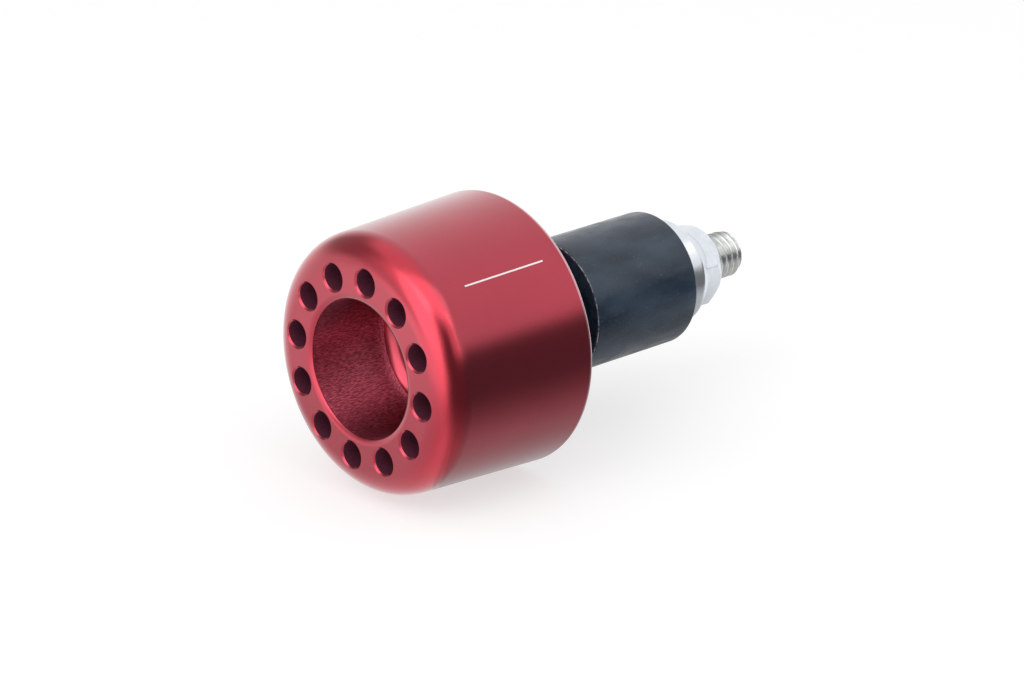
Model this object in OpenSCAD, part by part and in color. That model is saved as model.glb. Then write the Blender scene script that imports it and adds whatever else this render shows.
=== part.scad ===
// End weight for a motorcycle handlebar, with the clamp that holds it in the open tube.
// A turned, anodised weight is drawn against the bar by a long socket screw. The screw pulls
// a cone nut into a rubber sleeve, which swells and grips the inside of the tube. A spacer
// keeps the weight clear of the grip's end.
// Each piece is drawn standing on its turning axis, with z counted from the weight's front
// face, and bar_axis() lays it along +X. The bar ends at x = 0, where the sleeve begins.

/* [Weight] */
// Length of the weight along the bar
weight_len = 22.7; // [20:0.1:40]
// Diameter over the back rim
weight_back_d = 34.6; // [32:0.1:40]
// Half angle at which the flank widens towards the back, in degrees
flank_angle = 2.55; // [0:0.05:5]
// Radius of the rounded edge between front face and flank
nose_r = 3.9; // [1:0.1:5]
// Chamfer of the back rim
rim_chamfer = 0.25; // [0.1:0.05:1]

/* [Front bore] */
// Diameter of the open bore in the front face
bore_d = 17.5; // [14.5:0.1:18.5]
// Radius of the rolled lip at the bore's mouth
lip_r = 1.55; // [0.5:0.05:2]
// Angle that the lip turns through before it breaks off at the wall, in degrees
lip_angle = 37; // [20:1:45]
// Radius between the bore's wall and its floor
floor_r = 1.5; // [0.3:0.1:1.6]
// Thickness of the web that the screw's head pulls on
web_t = 4; // [3:0.1:6]

/* [Ring of holes] */
// Number of blind holes round the bore
hole_count = 12; // [6:1:16]
// Diameter of the circle that the holes stand on
hole_circle_d = 23; // [22.6:0.1:25]
// Diameter of one hole
hole_d = 3.35; // [2:0.05:3.6]
// Depth of a hole to the end of its straight wall
hole_depth = 8; // [4:0.5:12]
// Point angle of the drill that made the holes, in degrees
drill_angle = 118; // [90:1:140]
// Chamfer at each hole's mouth
hole_chamfer = 0.22; // [0.1:0.02:0.4]
// Turn of the ring of holes from the top of the front face, in degrees
hole_turn = 7.4; // [0:0.1:30]

/* [Screw] */
// Thread diameter of the socket screw
screw_d = 6; // [5:0.5:7]
// Diameter of the screw's head
head_d = 10; // [9:0.1:11]
// Height of the screw's head
head_h = 6; // [5:0.1:7]
// Width across the flats of the key socket
key_w = 5; // [4:0.5:6]
// Depth of the key socket
key_depth = 3; // [2:0.1:4]
// Chamfer round the top of the head
head_chamfer = 0.5; // [0.2:0.1:1]
// Length of thread that stands out behind the nut
screw_tip_out = 6.4; // [2:0.1:10]
// Chamfer at the screw's tip
tip_chamfer = 0.8; // [0.3:0.1:1.2]

/* [Spacer] */
// Length of the spacer, which is the gap between weight and sleeve
spacer_len = 9.1; // [3:0.1:20]
// Outer diameter of the spacer
spacer_d = 13.5; // [10:0.1:15]
// Chamfer on the spacer's four edges
spacer_chamfer = 0.4; // [0.1:0.1:0.8]

/* [Rubber sleeve] */
// Outer diameter of the rubber sleeve, relaxed
sleeve_d = 17.2; // [16:0.1:20]
// Length of the rubber sleeve
sleeve_len = 17.4; // [14:0.1:30]
// Radius on the sleeve's outer edges
sleeve_edge_r = 0.35; // [0.1:0.05:0.8]

/* [Cone nut] */
// Largest diameter of the cone, at its rim
cone_rim_d = 13.6; // [12.6:0.1:14.6]
// Half angle of the cone, in degrees
cone_angle = 12; // [8:0.5:13]
// Length of the cone from its small end to the rim
cone_len = 10.5; // [8:0.1:11]
// Distance from the sleeve's end to the rim
cone_out = 2.9; // [1:0.1:5]
// Width of the straight land on the rim
rim_land = 0.3; // [0.1:0.1:1]
// Angle to the axis at which the rim falls back to the hexagon, in degrees
rim_back_angle = 35; // [25:1:60]
// Width across the flats of the hexagon
nut_w = 10; // [9.5:0.1:11]
// Length from the rim to the back end of the hexagon
nut_len = 5.2; // [4:0.1:8]
// Angle to the axis of the turned chamfer on the hexagon's back end, in degrees
nut_chamfer_angle = 30; // [20:1:60]
// Diameter of the flat back end of the hexagon
nut_end_d = 9.8; // [9:0.1:10.5]
// Turn of the hexagon's first corner from the top, in degrees
nut_turn = 15.7; // [0:0.1:60]

/* [Fits] */
// Clearance across the diameter between the screw and the holes it passes through
pass_clearance = 0.4; // [0.2:0.1:0.8]
// Clearance across the diameter between the screw and the nut's thread
thread_clearance = 0.1; // [0.05:0.01:0.3]
// Clearance across the diameter between the screw's head and its pocket
head_clearance = 1; // [0.4:0.1:1.5]
// Depth of the head's top below the floor of the bore
head_sink = 0.1; // [0:0.1:1]
// Clearance between the cone and its seat in the relaxed rubber
seat_clearance = 0.05; // [0.02:0.01:0.2]
// Depth of the sleeve's pocket past the cone's small end
seat_run_out = 0.6; // [0.3:0.1:2]

/* [Hidden] */

round_steps = 96;
arc_steps = 12;
cut = 1;

anodised_red = [0.70, 0.12, 0.17];
zinc = [0.78, 0.80, 0.83];
black_anodised = [0.07, 0.07, 0.08];
rubber_grey = [0.20, 0.24, 0.28];

back_r = weight_back_d / 2;
front_r = back_r - weight_len * tan(flank_angle);
nose_centre_r = front_r + nose_r * tan(flank_angle) - nose_r / cos(flank_angle);
bore_r = bore_d / 2;
lip_w = lip_r * sin(lip_angle);
pass_r = (screw_d + pass_clearance) / 2;

seat_z = weight_len - web_t;
head_top_z = seat_z - head_h;
floor_z = head_top_z - head_sink;
pocket_r = (head_d + head_clearance) / 2;

sleeve_z = weight_len + spacer_len;
sleeve_end_z = sleeve_z + sleeve_len;
rim_z = sleeve_end_z + cone_out;
cone_z = rim_z - cone_len;
nut_end_z = rim_z + nut_len;
screw_tip_z = nut_end_z + screw_tip_out;

rim_r = cone_rim_d / 2;
cone_small_r = rim_r - cone_len * tan(cone_angle);
nut_corner_r = nut_w / 2 / cos(30);
nut_bore_r = (screw_d + thread_clearance) / 2;
nut_end_r = nut_end_d / 2;
hex_root_r = nut_w / 2 - rim_land;

// Lays a piece that stands on its axis along the bar.
module bar_axis() {
    translate([-sleeve_z, 0, 0]) rotate([0, 90, 0]) children();
}

// Points of an arc in the turning plane, [radius, z], from one angle to another.
function arc(centre, r, from, to) = [
    for (i = [0 : arc_steps])
        let (a = from + (to - from) * i / arc_steps)
        centre + r * [cos(a), sin(a)]
];

module turned(points) {
    rotate_extrude($fn = round_steps) polygon(points);
}

// The weight before it is drilled: flank, rounded nose, lip, bore and the screw's pocket.
module weight_turning() {
    turned(concat(
        [[pass_r, weight_len],
         [back_r - rim_chamfer, weight_len],
         [back_r - rim_chamfer * tan(flank_angle), weight_len - rim_chamfer]],
        arc([nose_centre_r, nose_r], nose_r, -flank_angle, -90),
        arc([bore_r + lip_w, lip_r], lip_r, -90, -90 - lip_angle),
        arc([bore_r - floor_r, floor_z - floor_r], floor_r, 0, 90),
        [[pocket_r, floor_z],
         [pocket_r, seat_z],
         [pass_r, seat_z]]
    ));
}

// One blind hole with its drill point and chamfered mouth, cut from the front face.
module blind_hole() {
    r = hole_d / 2;
    translate([0, 0, -cut]) cylinder(h = hole_depth + cut, r = r, $fn = round_steps);
    translate([0, 0, hole_depth])
        cylinder(h = r / tan(drill_angle / 2), r1 = r, r2 = 0, $fn = round_steps);
    translate([0, 0, -cut])
        cylinder(h = hole_chamfer + cut, r1 = r + hole_chamfer + cut, r2 = r, $fn = round_steps);
}

module weight() {
    color(anodised_red) bar_axis() difference() {
        weight_turning();
        for (i = [0 : hole_count - 1])
            rotate([0, 0, hole_turn + i * 360 / hole_count])
                translate([hole_circle_d / 2, 0, 0]) blind_hole();
    }
}

// Socket screw, its thread drawn as a plain shank of the thread's diameter.
module cap_screw() {
    screw_r = screw_d / 2;
    head_r = head_d / 2;
    color(zinc) bar_axis() difference() {
        turned([
            [0, head_top_z],
            [head_r - head_chamfer, head_top_z],
            [head_r, head_top_z + head_chamfer],
            [head_r, seat_z],
            [screw_r, seat_z],
            [screw_r, screw_tip_z - tip_chamfer],
            [screw_r - tip_chamfer, screw_tip_z],
            [0, screw_tip_z]
        ]);
        translate([0, 0, head_top_z - cut])
            cylinder(h = key_depth + cut, r = key_w / 2 / cos(30), $fn = 6);
        translate([0, 0, head_top_z + key_depth])
            cylinder(h = key_w / 2 * tan(30), r1 = key_w / 2, r2 = 0, $fn = round_steps);
    }
}

// Plain tube between the weight and the sleeve.
module spacer() {
    outer_r = spacer_d / 2;
    c = spacer_chamfer;
    color(black_anodised) bar_axis() turned([
        [pass_r + c, weight_len],
        [outer_r - c, weight_len],
        [outer_r, weight_len + c],
        [outer_r, sleeve_z - c],
        [outer_r - c, sleeve_z],
        [pass_r + c, sleeve_z],
        [pass_r, sleeve_z - c],
        [pass_r, weight_len + c]
    ]);
}

// Rubber tube whose far end opens into the seat of the cone.
module rubber_sleeve() {
    outer_r = sleeve_d / 2;
    e = sleeve_edge_r;
    pocket_z = cone_z - seat_run_out;
    function seat_at(z) = rim_r - (rim_z - z) * tan(cone_angle) + seat_clearance;
    color(rubber_grey) bar_axis() turned(concat(
        [[pass_r, sleeve_z]],
        arc([outer_r - e, sleeve_z + e], e, -90, 0),
        arc([outer_r - e, sleeve_end_z - e], e, 0, 90),
        [[seat_at(sleeve_end_z), sleeve_end_z],
         [seat_at(pocket_z), pocket_z],
         [pass_r, pocket_z]]
    ));
}

// Cone, rim and hexagon in one turned and milled piece, threaded through for the screw.
module cone_nut() {
    back_run = (rim_r - hex_root_r) / tan(rim_back_angle);
    chamfer_run = (nut_corner_r - nut_end_r) / tan(nut_chamfer_angle);
    color(zinc) bar_axis() difference() {
        union() {
            turned([
                [0, cone_z],
                [cone_small_r, cone_z],
                [rim_r, rim_z],
                [rim_r, rim_z + rim_land],
                [hex_root_r, rim_z + rim_land + back_run],
                [0, rim_z + rim_land + back_run]
            ]);
            intersection() {
                translate([0, 0, rim_z]) rotate([0, 0, nut_turn])
                    cylinder(h = nut_len, r = nut_corner_r, $fn = 6);
                turned([
                    [0, rim_z],
                    [nut_corner_r + cut, rim_z],
                    [nut_corner_r + cut, nut_end_z - chamfer_run - cut / tan(nut_chamfer_angle)],
                    [nut_end_r, nut_end_z],
                    [0, nut_end_z]
                ]);
            }
        }
        translate([0, 0, cone_z - cut])
            cylinder(h = nut_end_z - cone_z + 2 * cut, r = nut_bore_r, $fn = round_steps);
    }
}

weight();
cap_screw();
spacer();
rubber_sleeve();
cone_nut();
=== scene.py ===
# %% [markdown]
# # A weight for the end of a handlebar
# The object is a red anodised weight that closes the end of a motorcycle's handlebar. A long
# screw runs through it and pulls a zinc plated cone into a rubber sleeve, which swells and
# grips the inside of the tube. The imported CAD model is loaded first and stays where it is.
# Everything below dresses it: finer meshes for the turned pieces, and procedural finishes.
# The bar's axis is x, the bar's open end is at x = 0, and the weight lies in front of it.

# %% Load the frame
import math

import bmesh
import bpy
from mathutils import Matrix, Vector


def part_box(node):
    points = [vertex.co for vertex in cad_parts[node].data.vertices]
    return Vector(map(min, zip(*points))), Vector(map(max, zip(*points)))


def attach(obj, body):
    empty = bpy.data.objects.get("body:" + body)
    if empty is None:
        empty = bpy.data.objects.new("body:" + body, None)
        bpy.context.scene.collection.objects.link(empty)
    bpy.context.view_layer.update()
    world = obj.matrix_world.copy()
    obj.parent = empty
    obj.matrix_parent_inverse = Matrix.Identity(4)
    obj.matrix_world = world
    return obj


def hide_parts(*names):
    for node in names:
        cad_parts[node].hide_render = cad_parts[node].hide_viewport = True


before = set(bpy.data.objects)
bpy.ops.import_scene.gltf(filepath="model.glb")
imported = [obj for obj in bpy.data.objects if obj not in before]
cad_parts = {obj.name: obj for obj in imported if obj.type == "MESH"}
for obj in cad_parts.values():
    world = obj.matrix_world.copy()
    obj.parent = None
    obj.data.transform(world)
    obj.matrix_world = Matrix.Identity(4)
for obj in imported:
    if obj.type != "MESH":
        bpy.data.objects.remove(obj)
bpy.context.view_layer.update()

MM = 0.001
for node_name in sorted(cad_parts):
    low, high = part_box(node_name)
    print(node_name, "from x", round(low.x / MM, 2), "to", round(high.x / MM, 2), "mm")

# %% [markdown]
# ## Where the camera stands
# The photograph was taken with a long lens, so the weight's face and its back rim are almost
# the same size in the picture. The view's direction was worked out from the ellipses that the
# round edges make. A long lens is a large focal length, and the camera stands far away.

# %% The camera
AIM = Vector((-6.6, 0.0, -2.65)) * MM
CAMERA_AZIMUTH = -132.77
CAMERA_ELEVATION = 20.44
CAMERA_DISTANCE = 496.3 * MM
LENS = 140.6


def direction(azimuth, elevation):
    """A unit vector from the object towards a place in the studio, by two angles in degrees."""
    a, e = math.radians(azimuth), math.radians(elevation)
    return Vector((math.cos(a) * math.cos(e), math.sin(a) * math.cos(e), math.sin(e)))


def look_at(obj, target):
    """Turns a camera or lamp at its place so that it points at the target."""
    obj.rotation_euler = (target - obj.location).to_track_quat("-Z", "Y").to_euler()


camera_data = bpy.data.cameras.new("camera")
camera_data.lens = LENS
camera_data.clip_start = 0.01
camera = bpy.data.objects.new("camera", camera_data)
camera.location = AIM + direction(CAMERA_AZIMUTH, CAMERA_ELEVATION) * CAMERA_DISTANCE
look_at(camera, AIM)
bpy.context.scene.collection.objects.link(camera)
bpy.context.scene.camera = camera
print("camera at", [round(c / MM, 1) for c in camera.location], "mm")

# %% [markdown]
# ## The outline of a turned piece
# A lathe makes every piece here but the nut's hexagon: one outline, turned round an axis. In
# Blender the Screw or Spin tools do that, but a short function that lays rings of points along
# the outline keeps full control of how many faces each stretch gets. Outlines are written in
# millimetres as pairs of place along the bar and radius, and round stretches are arcs.

# %% Arcs and the lathe
SIDES = 240
FINE_SIDES = 96


def arc(x, r, radius, start, end, steps):
    """Points of an arc round (x, r) in the outline's plane, angles in degrees from +x."""
    turns = [math.radians(start + (end - start) * i / steps) for i in range(steps + 1)]
    return [(x + radius * math.cos(t), r + radius * math.sin(t)) for t in turns]


def new_object(name, mesh):
    obj = bpy.data.objects.new(name, mesh)
    bpy.context.scene.collection.objects.link(obj)
    return obj


def tidy_mesh(mesh, sharp_angle=25):
    """Closes seams, turns all faces outwards and marks the edges that stay crisp."""
    work = bmesh.new()
    work.from_mesh(mesh)
    bmesh.ops.remove_doubles(work, verts=work.verts, dist=1e-7)
    bmesh.ops.recalc_face_normals(work, faces=work.faces)
    work.to_mesh(mesh)
    work.free()
    mesh.shade_smooth()
    mesh.set_sharp_from_angle(angle=math.radians(sharp_angle))


def lathe(name, outline, sides=SIDES):
    """Turns an outline of (x, radius) pairs in millimetres round the bar's axis."""
    points, rings, faces = [], [], []
    for x, r in outline:
        on_axis = r < 1e-6
        first = len(points)
        count = 1 if on_axis else sides
        for i in range(count):
            t = 2 * math.pi * i / sides
            points.append((x * MM, r * MM * math.cos(t), r * MM * math.sin(t)))
        rings.append([first + (0 if on_axis else i) for i in range(sides)])
    for here, after in zip(rings, rings[1:] + rings[:1]):
        for i in range(sides):
            j = (i + 1) % sides
            corners = [here[i], here[j], after[j], after[i]]
            face = [c for k, c in enumerate(corners) if c not in corners[:k]]
            if len(face) > 2:
                faces.append(face)
    mesh = bpy.data.meshes.new(name)
    mesh.from_pydata(points, [], faces)
    tidy_mesh(mesh)
    return new_object(name, mesh)


def bake(obj):
    """Turns an object's modifiers into a plain mesh."""
    bpy.context.view_layer.update()
    graph = bpy.context.evaluated_depsgraph_get()
    mesh = bpy.data.meshes.new_from_object(obj.evaluated_get(graph))
    obj.modifiers.clear()
    obj.data = mesh
    return obj


def cut_away(obj, cutter):
    """Cuts one closed mesh out of another, as a drill or a mill would."""
    cut = obj.modifiers.new("cut", "BOOLEAN")
    cut.operation = "DIFFERENCE"
    cut.solver = "EXACT"
    cut.object = cutter
    bake(obj)
    bpy.data.objects.remove(cutter)
    return obj


def settle_normals(obj, sharp_angle=25):
    """Lets flat faces shade flat, though they run smoothly into round ones."""
    obj.data.shade_smooth()
    obj.data.set_sharp_from_angle(angle=math.radians(sharp_angle))
    settle = obj.modifiers.new("normals", "WEIGHTED_NORMAL")
    settle.keep_sharp = True
    settle.weight = 60
    return bake(obj)


print("the lathe lays", SIDES, "points round each ring")

# %% [markdown]
# ## Small helpers for finishes
# A finish is a small graph of shader nodes round one Principled BSDF. Noise in the object's
# own coordinates gives grain and streaks at a real size, and a Bump node turns it into relief
# that is far too fine to model. What is the same all over is set on the shader itself.

# %% Node helpers
def start_material(name, **settings):
    """A new material and its Principled shader, with the settings that hold all over."""
    material = bpy.data.materials.new(name)
    material.use_nodes = True
    shader = material.node_tree.nodes["Principled BSDF"]
    for socket, value in settings.items():
        shader.inputs[socket.replace("_", " ")].default_value = value
    return material, shader


def add_node(material, kind, inputs=None, **settings):
    """Adds a shader node, sets its properties and fills or links its inputs by name."""
    tree = material.node_tree
    node = tree.nodes.new(kind)
    for key, value in settings.items():
        setattr(node, key, value)
    for key, value in (inputs or {}).items():
        if isinstance(value, bpy.types.NodeSocket):
            tree.links.new(value, node.inputs[key])
        else:
            node.inputs[key].default_value = value
    return node


def noise(material, size, stretch=(1, 1, 1), detail=2.0, rough=0.5):
    """Noise whose blotches measure about size millimetres, longer where stretch is over 1."""
    where = add_node(material, "ShaderNodeTexCoord").outputs["Object"]
    scale = tuple(1 / (size * MM * s) for s in stretch)
    mapped = add_node(material, "ShaderNodeMapping", {"Vector": where, "Scale": scale})
    source = add_node(
        material,
        "ShaderNodeTexNoise",
        {"Vector": mapped.outputs["Vector"], "Scale": 1.0, "Detail": detail, "Roughness": rough},
    )
    return source.outputs["Fac"]


def spread(material, value, low, high, to_low=0.0, to_high=1.0):
    """Stretches the part of a value between low and high over a new range."""
    node = add_node(
        material,
        "ShaderNodeMapRange",
        {"Value": value, "From Min": low, "From Max": high, "To Min": to_low, "To Max": to_high},
    )
    return node.outputs["Result"]


def blend_colours(material, factor, first, second):
    node = add_node(material, "ShaderNodeMix", data_type="RGBA")
    material.node_tree.links.new(factor, node.inputs["Factor"])
    for socket, colour in ((node.inputs[6], first), (node.inputs[7], second)):
        if isinstance(colour, bpy.types.NodeSocket):
            material.node_tree.links.new(colour, socket)
        else:
            socket.default_value = (*colour, 1.0)
    return node.outputs[2]


def relief(material, shader, height, depth, under=None):
    """Feeds a height into the shader's normal. The depth is in millimetres."""
    inputs = {"Height": height, "Distance": depth * MM}
    if under:
        inputs["Normal"] = under
    bump = add_node(material, "ShaderNodeBump", inputs)
    material.node_tree.links.new(bump.outputs["Normal"], shader.inputs["Normal"])
    return bump.outputs["Normal"]


def stretch_of_bar(material, low, high, soft, most=1.0):
    """The number most between two places along the bar, in millimetres, and 0 elsewhere."""
    where = add_node(material, "ShaderNodeTexCoord").outputs["Object"]
    x = add_node(material, "ShaderNodeSeparateXYZ", {"Vector": where}).outputs["X"]
    up = spread(material, x, (low - soft) * MM, low * MM, 0.0, most)
    down = spread(material, x, high * MM, (high + soft) * MM, 1.0, 0.0)
    both = add_node(material, "ShaderNodeMath", {0: up, 1: down}, operation="MULTIPLY")
    return both.outputs["Value"]


print("a finish can use noise, blends, relief and zones along the bar")

# %% [markdown]
# ## Red anodised aluminium
# Anodising grows a thin glassy layer on aluminium and dyes it. The metal under it tints what
# it mirrors red, while the layer's own surface adds a white sheen that grows towards the
# edges. That is a metallic base with a coat. A blasted surface has a fine even grain; the
# bore was left as the tool cut it, so its grain is coarser and drawn out along the axis. The
# nose shows a clearer red than the flank, and a pale line round the tight back rim is a
# painted highlight for the light that the rim's chamfer mirrors. Both follow from the place
# along the bar, in millimetres.

# %% The red finish
RED = (0.44, 0.016, 0.044)
DEEP_RED = (0.39, 0.013, 0.037)
BORE_RED = (0.72, 0.15, 0.21)
BORE_DARK = (0.27, 0.05, 0.09)
# the holes' darker, bluer reds are painted shade: deep narrow holes get little light
HOLE_SHADED_RED = (0.34, 0.065, 0.115)
HOLE_DEEP_SHADE = (0.14, 0.05, 0.095)
# the pale rim colour is a painted highlight: it stands for the light that the rim's chamfer mirrors
RIM_HIGHLIGHT = (0.72, 0.42, 0.47)
RIM_FADE = 0.05
RIM_HIGHLIGHT_STRENGTH = 0.8
NOSE_RED = (0.53, 0.009, 0.034)
NOSE_START = 0.7
NOSE_END = 2.4
NOSE_FADE = 0.7


def red_satin():
    material, shader = start_material(
        "red_satin", Metallic=1.0, Roughness=0.22, Coat_Weight=1.0, Coat_Roughness=0.22, Coat_IOR=1.55
    )
    cloud = noise(material, 9.0)
    dyed = blend_colours(material, spread(material, cloud, 0.3, 0.7), DEEP_RED, RED)
    nose = stretch_of_bar(material, FRONT + NOSE_START, FRONT + NOSE_END, NOSE_FADE)
    bright = blend_colours(material, nose, dyed, NOSE_RED)
    # a painted highlight round the back rim, for the light that its chamfer mirrors
    rim = stretch_of_bar(material, BACK - RIM_R, BACK - RIM_R / 4, RIM_FADE, RIM_HIGHLIGHT_STRENGTH)
    colour = blend_colours(material, rim, bright, RIM_HIGHLIGHT)
    material.node_tree.links.new(colour, shader.inputs["Base Color"])
    relief(material, shader, noise(material, 0.17, detail=3.0), 0.008)
    return material


def red_bore():
    material, shader = start_material(
        "red_bore", Metallic=1.0, Roughness=0.34, Anisotropic=1.0, Coat_Weight=0.3, Coat_Roughness=0.2
    )
    streaks = noise(material, 0.09, stretch=(7, 1, 1), detail=2.0)
    grain = noise(material, 0.1, detail=2.0)
    colour = blend_colours(material, spread(material, streaks, 0.40, 0.62), BORE_DARK, BORE_RED)
    material.node_tree.links.new(colour, shader.inputs["Base Color"])
    along_bar = add_node(
        material,
        "ShaderNodeVectorTransform",
        {"Vector": (1, 0, 0)},
        vector_type="VECTOR",
        convert_from="OBJECT",
        convert_to="WORLD",
    )
    material.node_tree.links.new(along_bar.outputs["Vector"], shader.inputs["Tangent"])
    under = relief(material, shader, streaks, 0.014)
    relief(material, shader, grain, 0.009, under)
    return material


def red_hole():
    material, shader = start_material("red_hole", Metallic=0.6, Roughness=0.5, Coat_Weight=0.5)
    rings = noise(material, 0.2, stretch=(0.5, 1, 1), detail=2.0)
    # darker, bluer reds than the flank: painted shade inside the holes, varied at random by the rings
    colour = blend_colours(material, spread(material, rings, 0.35, 0.65), HOLE_DEEP_SHADE, HOLE_SHADED_RED)
    material.node_tree.links.new(colour, shader.inputs["Base Color"])
    relief(material, shader, rings, 0.02)
    return material


print("the flank's red is", RED, "and a hole's dark is", HOLE_DEEP_SHADE)

# %% [markdown]
# ## The weight
# On the real object this is one piece of bar stock: a flank that widens a little towards the
# back, a round nose, a bore with a rolled lip, and a ring of blind holes. The lathe makes
# the body. The holes are cut afterwards with a Boolean modifier, because a drill does that
# too, and the cutters stand on their circle through Geometry Nodes. The length and the rim
# come from the CAD node's box. The CAD's small rim chamfer is rounded here, and the bore's
# floor gets a slightly larger rounding than in the CAD, as the light in it suggests.

# %% The body's sizes
weight_low, weight_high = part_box("weight")
FRONT = weight_low.x / MM
BACK = weight_high.x / MM
RIM_CHAMFER = 0.25
RIM_R = 0.6
FLANK_ANGLE = 2.55
NOSE_R = 3.9
BORE_R = 8.75
LIP_R = 1.55
LIP_ANGLE = 37
LIP_BREAK = 0.1
FLOOR_R = 2.4
WEB = 4.0
HEAD_H = 6.0
HEAD_SINK = 0.1
POCKET_R = 5.5
POCKET_BREAK = 0.2
PASS_R = 3.2

slope = math.tan(math.radians(FLANK_ANGLE))
back_r = weight_high.z / MM + RIM_CHAMFER * slope
front_r = back_r - (BACK - FRONT) * slope
seat_x = BACK - WEB
head_top_x = seat_x - HEAD_H
floor_x = head_top_x - HEAD_SINK
print("the bore is", round(floor_x - FRONT, 2), "mm deep, its wall", round(2 * BORE_R, 2), "mm wide")

# %% Turn the body
def weight_outline():
    nose_r = front_r + NOSE_R * slope - NOSE_R / math.cos(math.radians(FLANK_ANGLE))
    nose = arc(FRONT + NOSE_R, nose_r, NOSE_R, 90 + FLANK_ANGLE, 180, 32)
    lip_r = BORE_R + LIP_R * math.sin(math.radians(LIP_ANGLE))
    lip = arc(FRONT + LIP_R, lip_r, LIP_R, 180, 180 + LIP_ANGLE, 14)
    edge_x, edge_r = lip.pop()
    lip_break = [
        (edge_x - 0.3 * LIP_BREAK, edge_r + 0.5 * LIP_BREAK),
        (edge_x + 0.1 * LIP_BREAK, edge_r + 0.12 * LIP_BREAK),
        (edge_x + 0.7 * LIP_BREAK, edge_r),
    ]
    floor_arc = arc(floor_x - FLOOR_R, BORE_R - FLOOR_R, FLOOR_R, 90, 0, 14)
    back = [
        (floor_x, POCKET_R + POCKET_BREAK),
        (floor_x + POCKET_BREAK, POCKET_R),
        (seat_x, POCKET_R),
        (seat_x, PASS_R),
        (BACK, PASS_R),
    ]
    back += arc(BACK - RIM_R, back_r - RIM_R * (1 + slope), RIM_R, 0, 90 + FLANK_ANGLE, 10)[:-1]
    return nose + lip + lip_break + floor_arc + back


weight = lathe("weight_body", weight_outline())
print("the turned body has", len(weight.data.polygons), "faces")

# %% [markdown]
# ## The ring of holes
# Each hole is a drill's path: a straight wall, a pointed end and a small chamfer at the
# mouth. One such cutter is turned on the lathe, and a Geometry Nodes tree puts a copy on each
# point of a circle. Count, circle and turn are named inputs, so the ring can be changed.

# %% A tree that repeats a mesh round the axis
HOLE_COUNT = 12
HOLE_CIRCLE_R = 11.5
HOLE_R = 1.675
HOLE_DEPTH = 8.0
HOLE_CHAMFER = 0.22
HOLE_TURN = 7.4
DRILL_ANGLE = 118


def tree_with_inputs(name, inputs):
    """A new geometry tree with a mesh in and out, and named inputs as (name, type, value)."""
    tree = bpy.data.node_groups.new(name, "GeometryNodeTree")
    face = tree.interface
    face.new_socket("Geometry", in_out="INPUT", socket_type="NodeSocketGeometry")
    for label, kind, value in inputs:
        socket = face.new_socket(label, in_out="INPUT", socket_type=kind)
        if value is not None:
            socket.default_value = value
    face.new_socket("Geometry", in_out="OUTPUT", socket_type="NodeSocketGeometry")
    return tree, tree.nodes.new("NodeGroupInput"), tree.nodes.new("NodeGroupOutput")


def geo_node(tree, kind, inputs=None, **settings):
    node = tree.nodes.new(kind)
    for key, value in settings.items():
        setattr(node, key, value)
    for key, value in (inputs or {}).items():
        if isinstance(value, bpy.types.NodeSocket):
            tree.links.new(value, node.inputs[key])
        else:
            node.inputs[key].default_value = value
    return node


def ring_tree():
    tree, start, end = tree_with_inputs(
        "ring_of_copies",
        [
            ("Count", "NodeSocketInt", 12),
            ("Radius", "NodeSocketFloat", 0.01),
            ("Turn", "NodeSocketFloat", 0.0),
            ("Material", "NodeSocketMaterial", None),
        ],
    )
    circle = geo_node(
        tree,
        "GeometryNodeMeshCircle",
        {"Vertices": start.outputs["Count"], "Radius": start.outputs["Radius"]},
    )
    turn = geo_node(tree, "ShaderNodeCombineXYZ", {"Z": start.outputs["Turn"]})
    turned = geo_node(
        tree,
        "GeometryNodeTransform",
        {"Geometry": circle.outputs["Mesh"], "Rotation": turn.outputs["Vector"]},
    )
    upright = geo_node(
        tree,
        "GeometryNodeTransform",
        {"Geometry": turned.outputs["Geometry"], "Rotation": (0, math.pi / 2, 0)},
    )
    copies = geo_node(
        tree,
        "GeometryNodeInstanceOnPoints",
        {"Points": upright.outputs["Geometry"], "Instance": start.outputs["Geometry"]},
    )
    real = geo_node(tree, "GeometryNodeRealizeInstances", {"Geometry": copies.outputs["Instances"]})
    painted = geo_node(
        tree,
        "GeometryNodeSetMaterial",
        {"Geometry": real.outputs["Geometry"], "Material": start.outputs["Material"]},
    )
    tree.links.new(painted.outputs["Geometry"], end.inputs["Geometry"])
    return tree


def run_tree(obj, tree, **values):
    """Puts a tree on an object, fills its named inputs and bakes what it makes."""
    modifier = obj.modifiers.new(tree.name, "NODES")
    modifier.node_group = tree
    for item in tree.interface.items_tree:
        if item.in_out == "INPUT" and item.name.replace(" ", "_") in values:
            modifier[item.identifier] = values[item.name.replace(" ", "_")]
    obj.update_tag()
    return bake(obj)


print("a tree can put", HOLE_COUNT, "copies of a mesh on a circle")

# %% Drill the holes
SATIN, BORE, HOLE = 0, 1, 2
DRILL_SIDES = 64
WALL_SLACK = 0.6
SAME_R = 0.02
MOUTH_DEPTH = 0.4
finishes = [red_satin(), red_bore(), red_hole()]
for finish in finishes:
    weight.data.materials.append(finish)


def drill_path():
    above = 1.0
    wide = HOLE_R + HOLE_CHAMFER
    point = HOLE_R / math.tan(math.radians(DRILL_ANGLE / 2))
    outline = [
        (FRONT - above, 0),
        (FRONT - above, wide + above),
        (FRONT + HOLE_CHAMFER, HOLE_R),
        (FRONT + HOLE_DEPTH, HOLE_R),
        (FRONT + HOLE_DEPTH + point, 0),
    ]
    return lathe("drill", outline, sides=DRILL_SIDES)


def finish_at(place):
    """Which red a face wears, by where on the weight it lies."""
    x = place.x / MM
    reach = math.hypot(place.y, place.z) / MM
    if x > floor_x:
        return SATIN
    if abs(reach - HOLE_CIRCLE_R) < HOLE_R and x > FRONT + HOLE_CHAMFER:
        return HOLE
    deep_enough = FRONT + MOUTH_DEPTH < x < floor_x - FLOOR_R / 2
    if deep_enough and BORE_R - WALL_SLACK < reach < BORE_R + SAME_R:
        return BORE
    return SATIN


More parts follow.
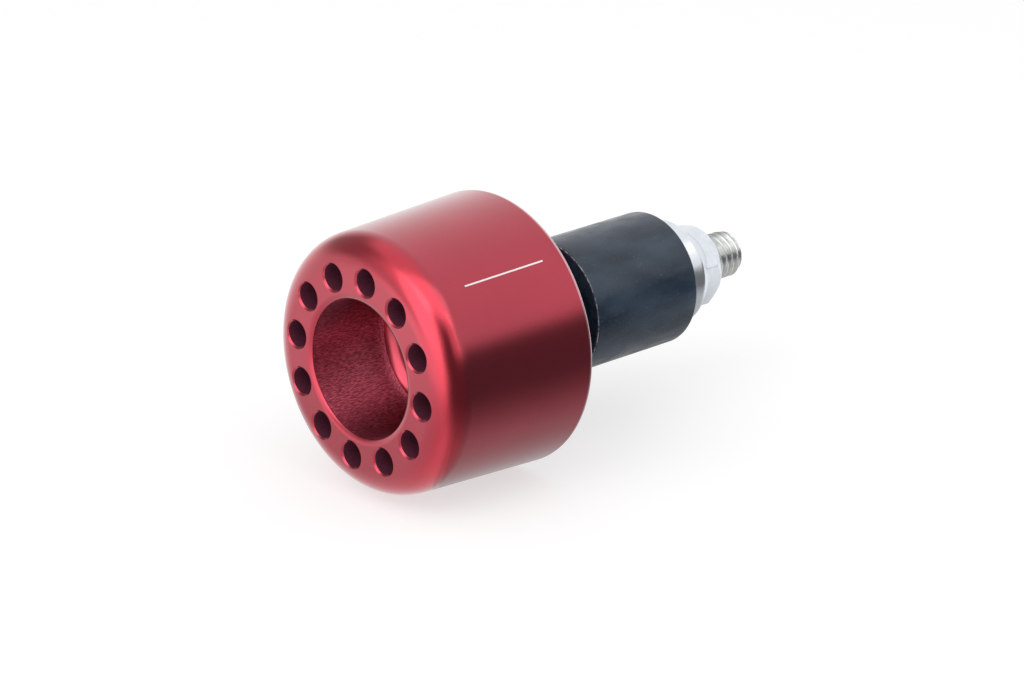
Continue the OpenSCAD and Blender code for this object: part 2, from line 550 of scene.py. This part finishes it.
drills = drill_path()
run_tree(
    drills,
    ring_tree(),
    Count=HOLE_COUNT,
    Radius=HOLE_CIRCLE_R * MM,
    Turn=math.radians(HOLE_TURN),
    Material=finishes[BORE],
)
cut_away(weight, drills)
for face in weight.data.polygons:
    face.material_index = finish_at(face.center)
settle_normals(weight)
print("the drilled body has", len(weight.data.polygons), "faces")

# %% [markdown]
# ## The etched line
# One thin pale line runs along the flank. On the real part a laser bleaches the dye there.
# A strip that stands a hundredth of a millimetre proud catches the light as the mark does,
# and it can be taken off again without touching the body.

# %% Lay the line on the flank
LINE_START = -24.8
LINE_END = -12.6
LINE_WIDTH = 0.2
LINE_TURN = 43.8
LINE_PROUD = 0.012
LINE_SUNK = 0.02
LINE_STEPS = 24


def flank_r(x):
    """The flank's radius at a place along the bar, in millimetres."""
    return back_r - (BACK - x) * slope


def on_flank(x, turn, lift):
    """A point over the flank: turn is measured from the top towards the viewer's side."""
    r = flank_r(x) + lift
    t = math.radians(turn)
    return Vector((x, -r * math.sin(t), r * math.cos(t))) * MM


def etched_line():
    half_turn = math.degrees(LINE_WIDTH / 2 / flank_r(LINE_START))
    loops = []
    for i in range(LINE_STEPS + 1):
        x = LINE_START + (LINE_END - LINE_START) * i / LINE_STEPS
        top = [on_flank(x, LINE_TURN + side * half_turn, LINE_PROUD) for side in (-1, 0, 1)]
        under = [on_flank(x, LINE_TURN + side * half_turn, -LINE_SUNK) for side in (1, -1)]
        loops.append(top + under)
    count = len(loops[0])
    points = [p for loop in loops for p in loop]
    faces = [tuple(range(count)), tuple(range(LINE_STEPS * count, (LINE_STEPS + 1) * count))]
    for i in range(LINE_STEPS):
        for k in range(count):
            n = (k + 1) % count
            faces.append((i * count + k, i * count + n, (i + 1) * count + n, (i + 1) * count + k))
    mesh = bpy.data.meshes.new("etched_line")
    mesh.from_pydata(points, [], faces)
    tidy_mesh(mesh)
    return new_object("etched_line", mesh)


def bleached_mark():
    material, shader = start_material("bleached_mark", Roughness=0.5)
    grain = spread(material, noise(material, 0.12, detail=2.0), 0.3, 0.7)
    colour = blend_colours(material, grain, (0.82, 0.77, 0.79), (0.97, 0.95, 0.96))
    material.node_tree.links.new(colour, shader.inputs["Base Color"])
    return material


def join(main, others):
    """Adds the meshes of other objects to the main one, with their materials."""
    pieces = [main] + others
    with bpy.context.temp_override(active_object=main, selected_editable_objects=pieces):
        bpy.ops.object.join()
    return main


line = etched_line()
line.data.materials.append(bleached_mark())
join(weight, [line])
print("the line is", round(LINE_END - LINE_START, 1), "mm long")

# %% [markdown]
# ## The rubber sleeve
# The sleeve is a short moulded tube. Rubber is nearly black, but talc and handling leave a
# pale bloom on it, so it reads as slate grey. The mould's joint leaves a thin skin of flash
# round its edge. That skin is a ridge in the outline, and the broken pale line along it is a
# painted highlight for the light that the thin edge catches.

# %% Turn the sleeve
sleeve_low, sleeve_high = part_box("rubber_sleeve")
SLEEVE_START = sleeve_low.x / MM
SLEEVE_END = sleeve_high.x / MM
SLEEVE_R = sleeve_high.z / MM
SLEEVE_EDGE_R = 0.35
SLEEVE_BORE_R = 3.2
FLASH_H = 0.05
CONE_ANGLE = 12.0
CONE_STANDS_OUT = 2.9
SEAT_GAP = 0.05
SEAT_START = 9.2
SEAT_BREAK = 0.12

nut_low, nut_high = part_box("cone_nut")
CONE_RIM_X = SLEEVE_END + CONE_STANDS_OUT
CONE_RIM_R = nut_high.z / MM


def sleeve_outline():
    e = SLEEVE_EDGE_R
    cone = math.tan(math.radians(CONE_ANGLE))
    front_edge = arc(SLEEVE_START + e, SLEEVE_R - e, e, 180, 90, 9)
    # the flash takes the place of two points half-way round the edge
    front_edge[4:6] = arc(SLEEVE_START + e, SLEEVE_R - e, e + FLASH_H, 144, 126, 2)
    length = SLEEVE_END - SLEEVE_START
    middle = [(SLEEVE_START + length * i / 8, SLEEVE_R) for i in range(1, 8)]
    back_edge = arc(SLEEVE_END - e, SLEEVE_R - e, e, 90, 0, 8)
    seat_mouth = CONE_RIM_R - (CONE_RIM_X - SLEEVE_END) * cone + SEAT_GAP
    seat_end = CONE_RIM_R - (CONE_RIM_X - SEAT_START) * cone + SEAT_GAP
    inside = [
        (SLEEVE_END, seat_mouth + SEAT_BREAK),
        (SLEEVE_END - SEAT_BREAK, seat_mouth),
        (SEAT_START, seat_end),
        (SEAT_START, SLEEVE_BORE_R),
        (SLEEVE_START, SLEEVE_BORE_R),
    ]
    return front_edge + middle + back_edge + inside


print("the sleeve is", round(SLEEVE_END - SLEEVE_START, 2), "mm long")

# %% The rubber's finish
DARK_RUBBER = (0.004, 0.014, 0.030)
BLOOMED_RUBBER = (0.027, 0.049, 0.078)
DUST = (0.30, 0.34, 0.38)
# the pale colour on the flash is a painted highlight along the sleeve's front edge
FLASH_HIGHLIGHT = (0.45, 0.47, 0.50)
FLASH_X = (0.06, 0.13)
SMOOTHEST = 0.20
ROUGHEST = 0.38


def rubber():
    material, shader = start_material("rubber", Specular_IOR_Level=0.5)
    bloom = spread(material, noise(material, 3.2, stretch=(2.5, 1, 1), detail=4.0), 0.35, 0.7)
    dust = spread(material, noise(material, 0.16, detail=1.0), 0.7, 0.78, 0.0, 0.35)
    slate = blend_colours(material, bloom, DARK_RUBBER, BLOOMED_RUBBER)
    speckled = blend_colours(material, dust, slate, DUST)
    # a broken pale line on the flash ridge: a painted highlight along the front edge
    flash_zone = stretch_of_bar(material, SLEEVE_START + FLASH_X[0], SLEEVE_START + FLASH_X[1], 0.02)
    broken = spread(material, noise(material, 0.5, detail=3.0), 0.42, 0.58, 0.0, 0.8)
    flash = add_node(material, "ShaderNodeMath", {0: flash_zone, 1: broken}, operation="MULTIPLY")
    colour = blend_colours(material, flash.outputs["Value"], speckled, FLASH_HIGHLIGHT)
    material.node_tree.links.new(colour, shader.inputs["Base Color"])
    smudges = noise(material, 1.6, stretch=(2, 1, 1), detail=4.0)
    rubbed = spread(material, smudges, 0.35, 0.65, SMOOTHEST, ROUGHEST)
    material.node_tree.links.new(rubbed, shader.inputs["Roughness"])
    relief(material, shader, noise(material, 0.3, detail=3.0), 0.008)
    return material


sleeve = lathe("sleeve", sleeve_outline())
sleeve.data.materials.append(rubber())
settle_normals(sleeve)
print("the sleeve has", len(sleeve.data.polygons), "faces")

# %% [markdown]
# ## The cone nut
# The cone, its rim and a hexagon are one steel piece. A lathe cuts the chamfers into the
# hexagon's corners, which leaves curved edges on the flats. Here each column of points runs
# along the piece at one angle. Its radius is the smaller of the turned outline and the
# hexagon, and the curved edges follow by themselves.

# %% Columns for the nut
NUT_FRONT = nut_low.x / MM
NUT_BACK = nut_high.x / MM
NUT_BORE_R = 3.05
RIM_LAND = 0.3
RIM_BACK_ANGLE = 35.0
HEX_FLATS = 10.0
HEX_TURN = 15.7
HEX_EDGE_R = 0.25
NUT_CHAMFER_ANGLE = 30.0
NUT_END_R = 4.9
NUT_COLUMNS = 240
MOUTH_CHAMFER = 0.25
EASE = 0.06


def eased(points, size=EASE):
    """Takes the sharpness off the corners of a closed outline with three points each."""
    rounded = []
    for i, corner in enumerate(points):
        here = Vector(corner)
        before = Vector(points[i - 1]) - here
        after = Vector(points[(i + 1) % len(points)]) - here
        first = here + before.normalized() * min(size, before.length * 0.4)
        last = here + after.normalized() * min(size, after.length * 0.4)
        middle = (first + last) * 0.25 + here * 0.5
        rounded += [tuple(first), tuple(middle), tuple(last)]
    return rounded


def hexagon_r(turn):
    """The hexagon's radius at an angle from its first corner, its edges slightly rounded."""
    off_flat = abs((math.degrees(turn) % 60) - 30)
    flat = HEX_FLATS / 2 / math.cos(math.radians(off_flat))
    to_corner = 1 / math.cos(math.radians(30))
    corner = HEX_FLATS / 2 * to_corner - HEX_EDGE_R * (to_corner - 1)
    return min(flat, corner)


def nut_column(turn):
    """The outline of the nut at one angle."""
    hexagon = hexagon_r(turn)
    land_x = CONE_RIM_X + RIM_LAND
    small_r = CONE_RIM_R - (CONE_RIM_X - NUT_FRONT) * math.tan(math.radians(CONE_ANGLE))
    back_x = land_x + (CONE_RIM_R - hexagon) / math.tan(math.radians(RIM_BACK_ANGLE))
    chamfer_x = NUT_BACK - (hexagon - NUT_END_R) / math.tan(math.radians(NUT_CHAMFER_ANGLE))
    return [
        (NUT_FRONT, NUT_BORE_R + MOUTH_CHAMFER),
        (NUT_FRONT, small_r),
        (CONE_RIM_X, CONE_RIM_R),
        (land_x, CONE_RIM_R),
        (back_x, hexagon),
        (chamfer_x, hexagon),
        (NUT_BACK, NUT_END_R),
        (NUT_BACK, NUT_BORE_R + MOUTH_CHAMFER),
        (NUT_BACK - MOUTH_CHAMFER, NUT_BORE_R),
        (NUT_FRONT + MOUTH_CHAMFER, NUT_BORE_R),
    ]


def cone_nut():
    columns = []
    for i in range(NUT_COLUMNS):
        turn = 2 * math.pi * i / NUT_COLUMNS
        t = turn + math.radians(HEX_TURN)
        outline = eased(nut_column(turn))
        columns.append([(x * MM, -r * MM * math.sin(t), r * MM * math.cos(t)) for x, r in outline])
    count = len(columns[0])
    points = [p for column in columns for p in column]
    faces = []
    for i in range(NUT_COLUMNS):
        j = (i + 1) % NUT_COLUMNS
        for k in range(count):
            n = (k + 1) % count
            faces.append((i * count + k, j * count + k, j * count + n, i * count + n))
    mesh = bpy.data.meshes.new("nut")
    mesh.from_pydata(points, [], faces)
    tidy_mesh(mesh)
    return new_object("nut", mesh)


def zinc(name, bright, dull, roughness):
    material, shader = start_material(name, Metallic=1.0, Roughness=roughness)
    clouds = noise(material, 1.6, detail=4.0, rough=0.6)
    colour = blend_colours(material, spread(material, clouds, 0.35, 0.65), dull, bright)
    material.node_tree.links.new(colour, shader.inputs["Base Color"])
    relief(material, shader, noise(material, 0.5, detail=3.0), 0.006)
    return material


NUT_BRIGHT = (0.79, 0.83, 0.88)
NUT_DULL = (0.71, 0.75, 0.80)
nut = cone_nut()
nut.data.materials.append(zinc("zinc_of_nut", NUT_BRIGHT, NUT_DULL, 0.26))
settle_normals(nut)
print("the nut has", len(nut.data.polygons), "faces")

# %% [markdown]
# ## The screw and its thread
# A socket screw has a round head, a plain shank and a rolled thread. The thread is one
# ridge that climbs one pitch a turn, so its outline repeats along the screw and shifts with
# the angle. Geometry Nodes writes just that: a grid is rolled up, and each point's radius
# follows from how far along the pitch it sits.

# %% The thread's sizes
SCREW_R = 3.0
TIP_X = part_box("cap_screw")[1].x / MM
TIP_CHAMFER = 0.8
PITCH = 1.0
THREAD_DEPTH = 0.6
THREAD_LENGTH = 24.0
CREST = 0.13
ROOT = 0.18
STEPS_A_TURN = 72
STEPS_A_PITCH = 20
SPARE_PITCHES = 3
print("the thread has a pitch of", PITCH, "mm and ends at x", round(TIP_X, 2), "mm")

# %% Sums in a geometry tree
def calculate(tree, operation, *values, clamp=False):
    """One Math node of a geometry tree, fed with numbers or sockets."""
    node = tree.nodes.new("ShaderNodeMath")
    node.operation = operation
    node.use_clamp = clamp
    for socket, value in zip(node.inputs, values):
        if isinstance(value, bpy.types.NodeSocket):
            tree.links.new(value, socket)
        else:
            socket.default_value = value
    return node.outputs["Value"]


def choose(tree, switch, first, second):
    """The first value where the switch is 1, and the second where it is 0."""
    return calculate(
        tree,
        "ADD",
        calculate(tree, "MULTIPLY", first, switch),
        calculate(tree, "MULTIPLY", second, calculate(tree, "SUBTRACT", 1.0, switch)),
    )


print("a Math node can now be added in one line")

# %% The thread's radius
def ridge_radius(tree, value, from_tip):
    """The radius over one pitch: a crest, a slope and a root."""
    in_pitch = calculate(tree, "FRACT", calculate(tree, "DIVIDE", from_tip, value["Pitch"]))
    from_crest = calculate(tree, "ABSOLUTE", calculate(tree, "SUBTRACT", in_pitch, 0.5))
    down_slope = calculate(tree, "SUBTRACT", calculate(tree, "MULTIPLY", from_crest, 2.0), CREST)
    sunk = calculate(tree, "DIVIDE", down_slope, 1 - CREST - ROOT, clamp=True)
    groove = calculate(tree, "MULTIPLY", sunk, value["Depth"])
    return calculate(tree, "SUBTRACT", value["Outer Radius"], groove)


def close_the_tip(tree, value, ridge_r, past_tip, half_pitch):
    """Cuts the ridge back to the tip's cone. Rows past the tip close its flat end."""
    tip_r = calculate(tree, "SUBTRACT", value["Outer Radius"], value["Tip Chamfer"])
    cone_r = calculate(tree, "SUBTRACT", tip_r, past_tip)
    outer_r = calculate(tree, "MINIMUM", ridge_r, cone_r)
    over = calculate(tree, "DIVIDE", past_tip, half_pitch, clamp=True)
    tip_face = calculate(tree, "MULTIPLY", tip_r, calculate(tree, "SUBTRACT", 1.0, over))
    is_past = calculate(tree, "GREATER_THAN", past_tip, 0.0)
    return choose(tree, is_past, tip_face, outer_r)


def grow_from_core(tree, value, full_r, past_tip, half_pitch):
    """Lets the ridge grow out of its core. Rows before its start close the end in the shank."""
    short = calculate(tree, "ADD", past_tip, value["Length"])
    before = calculate(tree, "LESS_THAN", short, 0.0)
    under = calculate(tree, "ADD", 1.0, calculate(tree, "DIVIDE", short, half_pitch), clamp=True)
    core_r = calculate(tree, "SUBTRACT", value["Outer Radius"], value["Depth"])
    start_face = calculate(tree, "MULTIPLY", core_r, under)
    opening = calculate(tree, "DIVIDE", short, value["Pitch"], clamp=True)
    over_core = calculate(tree, "SUBTRACT", full_r, core_r)
    grown = calculate(tree, "ADD", core_r, calculate(tree, "MULTIPLY", opening, over_core))
    threaded_r = calculate(tree, "MINIMUM", grown, full_r)
    return choose(tree, before, start_face, threaded_r)


print("crest and root take", CREST, "and", ROOT, "of a pitch")

# %% The thread's tree
def thread_tree():
    tree, start, end = tree_with_inputs(
        "rolled_thread",
        [
            ("Pitch", "NodeSocketFloat", 0.001),
            ("Outer Radius", "NodeSocketFloat", 0.003),
            ("Depth", "NodeSocketFloat", 0.0006),
            ("Length", "NodeSocketFloat", 0.024),
            ("Tip", "NodeSocketFloat", 0.03),
            ("Tip Chamfer", "NodeSocketFloat", 0.0008),
            ("Rows", "NodeSocketInt", 400),
            ("Columns", "NodeSocketInt", 73),
            ("Material", "NodeSocketMaterial", None),
        ],
    )
    value = start.outputs
    grid = geo_node(
        tree,
        "GeometryNodeMeshGrid",
        {
            "Size X": 1.0,
            "Size Y": 1.0,
            "Vertices X": value["Rows"],
            "Vertices Y": value["Columns"],
        },
    )
    place = geo_node(tree, "GeometryNodeInputPosition")
    split = geo_node(tree, "ShaderNodeSeparateXYZ", {"Vector": place.outputs["Position"]})
    around = calculate(tree, "ADD", split.outputs["Y"], 0.5)
    row_place = calculate(tree, "SUBTRACT", split.outputs["X"], 0.5)

    # how far a point lies from the tip, once if the rows ran straight and once as they climb
    span = calculate(tree, "MULTIPLY_ADD", value["Pitch"], SPARE_PITCHES, value["Length"])
    from_tip = calculate(tree, "MULTIPLY", row_place, span)
    climb = calculate(tree, "MULTIPLY", around, value["Pitch"])
    past_tip = calculate(tree, "ADD", calculate(tree, "ADD", from_tip, climb), value["Pitch"])

    half_pitch = calculate(tree, "MULTIPLY", value["Pitch"], 0.5)
    ridge_r = ridge_radius(tree, value, from_tip)
    full_r = close_the_tip(tree, value, ridge_r, past_tip, half_pitch)
    radius = grow_from_core(tree, value, full_r, past_tip, half_pitch)

    no_further = calculate(tree, "MINIMUM", past_tip, 0.0)
    no_shorter = calculate(tree, "MULTIPLY", value["Length"], -1.0)
    kept = calculate(tree, "MAXIMUM", no_further, no_shorter)
    turn = calculate(tree, "MULTIPLY", around, -2 * math.pi)
    rolled = geo_node(
        tree,
        "ShaderNodeCombineXYZ",
        {
            "X": calculate(tree, "ADD", value["Tip"], kept),
            "Y": calculate(tree, "MULTIPLY", radius, calculate(tree, "SINE", turn)),
            "Z": calculate(tree, "MULTIPLY", radius, calculate(tree, "COSINE", turn)),
        },
    )
    moved = geo_node(
        tree,
        "GeometryNodeSetPosition",
        {"Geometry": grid.outputs["Mesh"], "Position": rolled.outputs["Vector"]},
    )
    closed = geo_node(
        tree, "GeometryNodeMergeByDistance", {"Geometry": moved.outputs["Geometry"], "Distance": 1e-6}
    )
    real = geo_node(tree, "GeometryNodeRealizeInstances", {"Geometry": closed.outputs["Geometry"]})
    painted = geo_node(
        tree,
        "GeometryNodeSetMaterial",
        {"Geometry": real.outputs["Geometry"], "Material": value["Material"]},
    )
    tree.links.new(painted.outputs["Geometry"], end.inputs["Geometry"])
    return tree


print("the tree rolls a flat grid into a thread")

# %% Roll the thread
SCREW_BRIGHT = (0.78, 0.78, 0.75)
SCREW_DULL = (0.66, 0.68, 0.68)
ZINC_SCREW = zinc("zinc_of_screw", SCREW_BRIGHT, SCREW_DULL, 0.24)
thread = new_object("thread", bpy.data.meshes.new("thread"))
run_tree(
    thread,
    thread_tree(),
    Pitch=PITCH * MM,
    Outer_Radius=SCREW_R * MM,
    Depth=THREAD_DEPTH * MM,
    Length=THREAD_LENGTH * MM,
    Tip=TIP_X * MM,
    Tip_Chamfer=TIP_CHAMFER * MM,
    Rows=int((THREAD_LENGTH / PITCH + SPARE_PITCHES) * STEPS_A_PITCH) + 1,
    Columns=STEPS_A_TURN + 1,
    Material=ZINC_SCREW,
)
tidy_mesh(thread.data, sharp_angle=35)
print("the thread has", len(thread.data.polygons), "faces")

# %% Turn the head and shank
HEAD_R = 5.0
HEAD_CHAMFER = 0.5
KEY_WIDTH = 5.0
KEY_DEPTH = 3.0
SHANK_CHAMFER = 0.5
THREAD_OVERLAP = 0.6
SHANK_END = TIP_X - THREAD_LENGTH + THREAD_OVERLAP


def screw_outline():
    body = [
        (head_top_x, HEAD_R - HEAD_CHAMFER),
        (head_top_x + HEAD_CHAMFER, HEAD_R),
        (seat_x, HEAD_R),
        (seat_x, SCREW_R),
        (SHANK_END, SCREW_R),
        (SHANK_END + SHANK_CHAMFER, SCREW_R - SHANK_CHAMFER),
    ]
    ends = [(SHANK_END + SHANK_CHAMFER, 0.0), (head_top_x, 0.0)]
    closed = eased(body + ends)
    return [p for p in closed if p[1] > 1e-6][:-1] + ends


def key_cutter():
    tip = KEY_WIDTH / 2 * math.tan(math.radians(30))
    corner = KEY_WIDTH / 2 / math.cos(math.radians(30))
    outline = [
        (head_top_x - 1, 0),
        (head_top_x - 1, corner),
        (head_top_x + KEY_DEPTH, corner),
        (head_top_x + KEY_DEPTH + tip, 0),
    ]
    return lathe("key", outline, sides=6)


screw = lathe("screw", screw_outline(), sides=FINE_SIDES)
screw.data.materials.append(ZINC_SCREW)
cut_away(screw, key_cutter())
settle_normals(screw)
join(screw, [thread])
print("the screw has", len(screw.data.polygons), "faces")

# %% [markdown]
# ## The spacer
# Between weight and sleeve the screw carries a plain turned spacer. It lies in deep shade in
# the photograph, so only its place and its dark finish are known. The CAD piece is good
# enough here, and it gets a black anodised finish with fine turning marks round it.

# %% Finish the spacer
BLACK = (0.008, 0.009, 0.012)
WORN_BLACK = (0.018, 0.019, 0.023)


def black_satin():
    material, shader = start_material("black_satin", Metallic=0.6, Roughness=0.38)
    marks = noise(material, 0.12, stretch=(1, 40, 40), detail=2.0)
    colour = blend_colours(material, spread(material, marks, 0.3, 0.7), BLACK, WORN_BLACK)
    material.node_tree.links.new(colour, shader.inputs["Base Color"])
    relief(material, shader, marks, 0.004)
    return material


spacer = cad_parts["spacer"]
spacer.material_slots[0].material = black_satin()
print("the spacer keeps its CAD mesh")

# %% [markdown]
# ## The studio
# The photograph shows a white sweep with very soft light. A floor and a pale world do that.
# Rays from the camera, and rays that mirror in metal, see the background as plain white, and
# the floor still shows the soft shadow because part of its white comes from real light.

# %% Floor and world
FLOOR_SIZE = 3.0
FLOOR_GAP = 0.02
FLOOR_PALE = 0.8
FLOOR_LIFT = 0.62
FLOOR_SEEN = 0.45
WORLD_GREY = 0.65


def seen_directly(material_or_world):
    """A factor that is 1 for camera, glossy and transmission rays and 0 for diffuse ones."""
    path = add_node(material_or_world, "ShaderNodeLightPath")
    first = add_node(
        material_or_world,
        "ShaderNodeMath",
        {0: path.outputs["Is Camera Ray"], 1: path.outputs["Is Glossy Ray"]},
        operation="MAXIMUM",
    )
    both = add_node(
        material_or_world,
        "ShaderNodeMath",
        {0: first.outputs["Value"], 1: path.outputs["Is Transmission Ray"]},
        operation="MAXIMUM",
    )
    return both.outputs["Value"]


def floor_material():
    material = bpy.data.materials.new("white_sweep")
    material.use_nodes = True
    tree = material.node_tree
    tree.nodes.remove(tree.nodes["Principled BSDF"])
    pale = add_node(
        material, "ShaderNodeBsdfDiffuse", {"Color": (FLOOR_PALE, FLOOR_PALE, FLOOR_PALE, 1)}
    )
    lift = add_node(
        material,
        "ShaderNodeEmission",
        {"Color": (1, 1, 1, 1), "Strength": FLOOR_LIFT},
    )
    seen = add_node(
        material, "ShaderNodeBsdfDiffuse", {"Color": (FLOOR_SEEN, FLOOR_SEEN, FLOOR_SEEN, 1)}
    )
    lifted = add_node(material, "ShaderNodeAddShader", {0: seen.outputs[0], 1: lift.outputs[0]})
    choice = add_node(
        material,
        "ShaderNodeMixShader",
        {0: seen_directly(material), 1: pale.outputs[0], 2: lifted.outputs[0]},
    )
    tree.links.new(choice.outputs[0], tree.nodes["Material Output"].inputs["Surface"])
    return material


floor_z = min(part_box(n)[0].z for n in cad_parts) - FLOOR_GAP * MM
floor_mesh = bpy.data.meshes.new("floor")
half = FLOOR_SIZE / 2
corners = [(-half, -half), (half, -half), (half, half), (-half, half)]
floor_mesh.from_pydata([(x, y, floor_z) for x, y in corners], [], [(0, 1, 2, 3)])
floor = new_object("floor", floor_mesh)
floor.data.materials.append(floor_material())

world = bpy.data.worlds.new("pale_room")
world.use_nodes = True
bpy.context.scene.world = world
room = world.node_tree.nodes["Background"]
room.inputs["Color"].default_value = (WORLD_GREY, WORLD_GREY, WORLD_GREY, 1)
white = add_node(world, "ShaderNodeBackground", {"Color": (1, 1, 1, 1)})
mix = add_node(
    world, "ShaderNodeMixShader", {0: seen_directly(world), 1: room.outputs[0], 2: white.outputs[0]}
)
world.node_tree.links.new(mix.outputs[0], world.node_tree.nodes["World Output"].inputs["Surface"])
bpy.context.scene.view_settings.view_transform = "Standard"
print("floor at", round(floor_z / MM, 2), "mm")

# %% [markdown]
# ## Cards round the object
# A pale room makes shiny metal look flat. Photographers put dark and bright cards round it,
# out of the camera's sight, and their reflections draw the shape. Each card here is a mesh
# that only mirroring surfaces see. It fades out towards its rim by a number from 0 to 1 that
# is kept on its points, so no hard edge shows in the metal.

# %% A card's material
def card_material(name, grey):
    material = bpy.data.materials.new(name)
    material.use_nodes = True
    tree = material.node_tree
    tree.nodes.remove(tree.nodes["Principled BSDF"])
    glow = add_node(material, "ShaderNodeEmission", {"Color": (1, 1, 1, 1), "Strength": grey})
    clear = add_node(material, "ShaderNodeBsdfTransparent")
    fade = add_node(material, "ShaderNodeAttribute", attribute_name="fade")
    both = add_node(
        material,
        "ShaderNodeMixShader",
        {0: fade.outputs["Fac"], 1: clear.outputs[0], 2: glow.outputs[0]},
    )
    tree.links.new(both.outputs[0], tree.nodes["Material Output"].inputs["Surface"])
    return material


def studio_card(name, rows, grey):
    """A card from rows of (place, fade) points. Only mirroring surfaces see it."""
    wide = len(rows[0])
    mesh = bpy.data.meshes.new(name)
    points = [p for row in rows for p, _ in row]
    faces = []
    for i in range(len(rows) - 1):
        for k in range(wide - 1):
            c = i * wide + k
            faces.append((c, c + 1, c + wide + 1, c + wide))
    mesh.from_pydata(points, [], faces)
    fade = mesh.attributes.new("fade", "FLOAT", "POINT")
    fade.data.foreach_set("value", [f for row in rows for _, f in row])
    mesh.materials.append(card_material(name, grey))
    card = new_object(name, mesh)
    card.visible_camera = False
    card.visible_shadow = False
    card.visible_diffuse = False
    return card


print("a card glows at its own grey and hides from the camera")

# %% Cards on the floor
CARD_CENTRE_X = -20
CARD_LIFT = 0.1
CARD_STEPS = 20


def floor_card(name, start, end, soft, outline, grey, straight=False):
    """A card on the floor by the weight, turned up at its far edge, between two azimuths.

    Each point of the outline is its reach, its height over the floor and its fade. A straight
    card runs along the bar, and any other lies round the weight."""
    centre = Vector((CARD_CENTRE_X, 0, 0)) * MM
    floor_up = floor_z + CARD_LIFT * MM
    rows = []
    for step in range(CARD_STEPS + 1):
        azimuth = start + (end - start) * step / CARD_STEPS
        edge = min(1.0, (azimuth - start) / soft, (end - azimuth) / soft)
        a = math.radians(azimuth)
        longer = 1 / abs(math.sin(a)) if straight else 1
        row = []
        for reach, height, fade in outline:
            place = centre + Vector((math.cos(a), math.sin(a), 0)) * reach * longer * MM
            place.z = floor_up + height * longer * MM
            row.append((place, fade * edge))
        rows.append(row)
    return studio_card(name, rows, grey)


DARK_OUTLINE = [(20, 0, 0), (34, 0, 0.7), (50, 0, 1), (350, 0, 1), (350, 74, 1), (350, 125, 0)]
UNDER_OUTLINE = [(0, -0.05, 1), (52, -0.05, 1), (72, -0.05, 0)]
FRONT_OUTLINE = [(0, -0.05, 1), (32, -0.05, 1), (56, -0.05, 0)]
BRIGHT_OUTLINE = [(54, 0, 0), (92, 0, 1), (300, 0, 1), (300, 60, 0)]
floor_card("dark_tray", -148, -10, 16, DARK_OUTLINE, 0.15, straight=True)
# the grey patch is painted shadow: it stands for the weight's own shadow on the floor, as the metal
# mirrors it
floor_card("grey_patch", -135, 20, 14, UNDER_OUTLINE, 0.5)
floor_card("front_patch", 75, 225, 14, FRONT_OUTLINE, 0.85)
floor_card("bright_tray", -226, -140, 14, BRIGHT_OUTLINE, 1.8)
print("four cards lie on the floor")

# %% Cards farther off
FAR_STEPS = 8
FAR_REACH = 400 * MM


def far_card(name, azimuth, elevation, wide, high, grey):
    """A card on a sphere round the object, by the angles that it spans in degrees."""
    rows = []
    for i in range(FAR_STEPS + 1):
        row = []
        for k in range(FAR_STEPS + 1):
            a = azimuth + wide * (i / FAR_STEPS - 0.5)
            e = elevation + high * (k / FAR_STEPS - 0.5)
            fade = min(1.0, i / 2, (FAR_STEPS - i) / 2) * min(1.0, k / 2, (FAR_STEPS - k) / 2)
            row.append((direction(a, e) * FAR_REACH, fade))
        rows.append(row)
    return studio_card(name, rows, grey)


far_card("back_card", 108, 30, 92, 50, 0.36)
far_card("camera_card", -124, 18, 34, 46, 0.15)
print("two more stand farther off")

# %% [markdown]
# ## Soft lamps
# The light comes from large soft boxes. An area lamp is written here by the angles that it
# spans, seen from the object, and by its brightness in a mirror, where 1 is white paper. The
# lamp's power follows from its size, so a lamp can be made wider without getting brighter.

# %% Three soft boxes
LAMP_REACH = 600 * MM


def softbox(name, azimuth, elevation, wide, high, radiance):
    """An area lamp that spans these angles, seen from the object, with this brightness."""
    lamp = bpy.data.lights.new(name, "AREA")
    lamp.shape = "RECTANGLE"
    lamp.size = 2 * LAMP_REACH * math.tan(math.radians(wide / 2))
    lamp.size_y = 2 * LAMP_REACH * math.tan(math.radians(high / 2))
    lamp.energy = radiance * math.pi * lamp.size * lamp.size_y
    obj = bpy.data.objects.new(name, lamp)
    obj.location = direction(azimuth, elevation) * LAMP_REACH
    look_at(obj, Vector((0, 0, 0)))
    bpy.context.scene.collection.objects.link(obj)
    return obj


softbox("high_box", -120, 60, 70, 36, 0.9)
softbox("left_box", -170, 24, 44, 60, 1.3)
softbox("thin_box", -86, 30, 8, 34, 0.8)
print("three soft boxes light the object")

# %% [markdown]
# ## Hand the pieces over
# Each finished mesh rides on the frame's one body and takes the place of its CAD node, which is
# hidden.

# %% Hand the pieces to the frame
def hand_in(piece, node_name):
    """Fixes a finished piece to the frame in place of its CAD node."""
    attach(piece, "root")
    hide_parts(node_name)


hand_in(weight, "weight")
hand_in(sleeve, "rubber_sleeve")
hand_in(nut, "cone_nut")
hand_in(screw, "cap_screw")
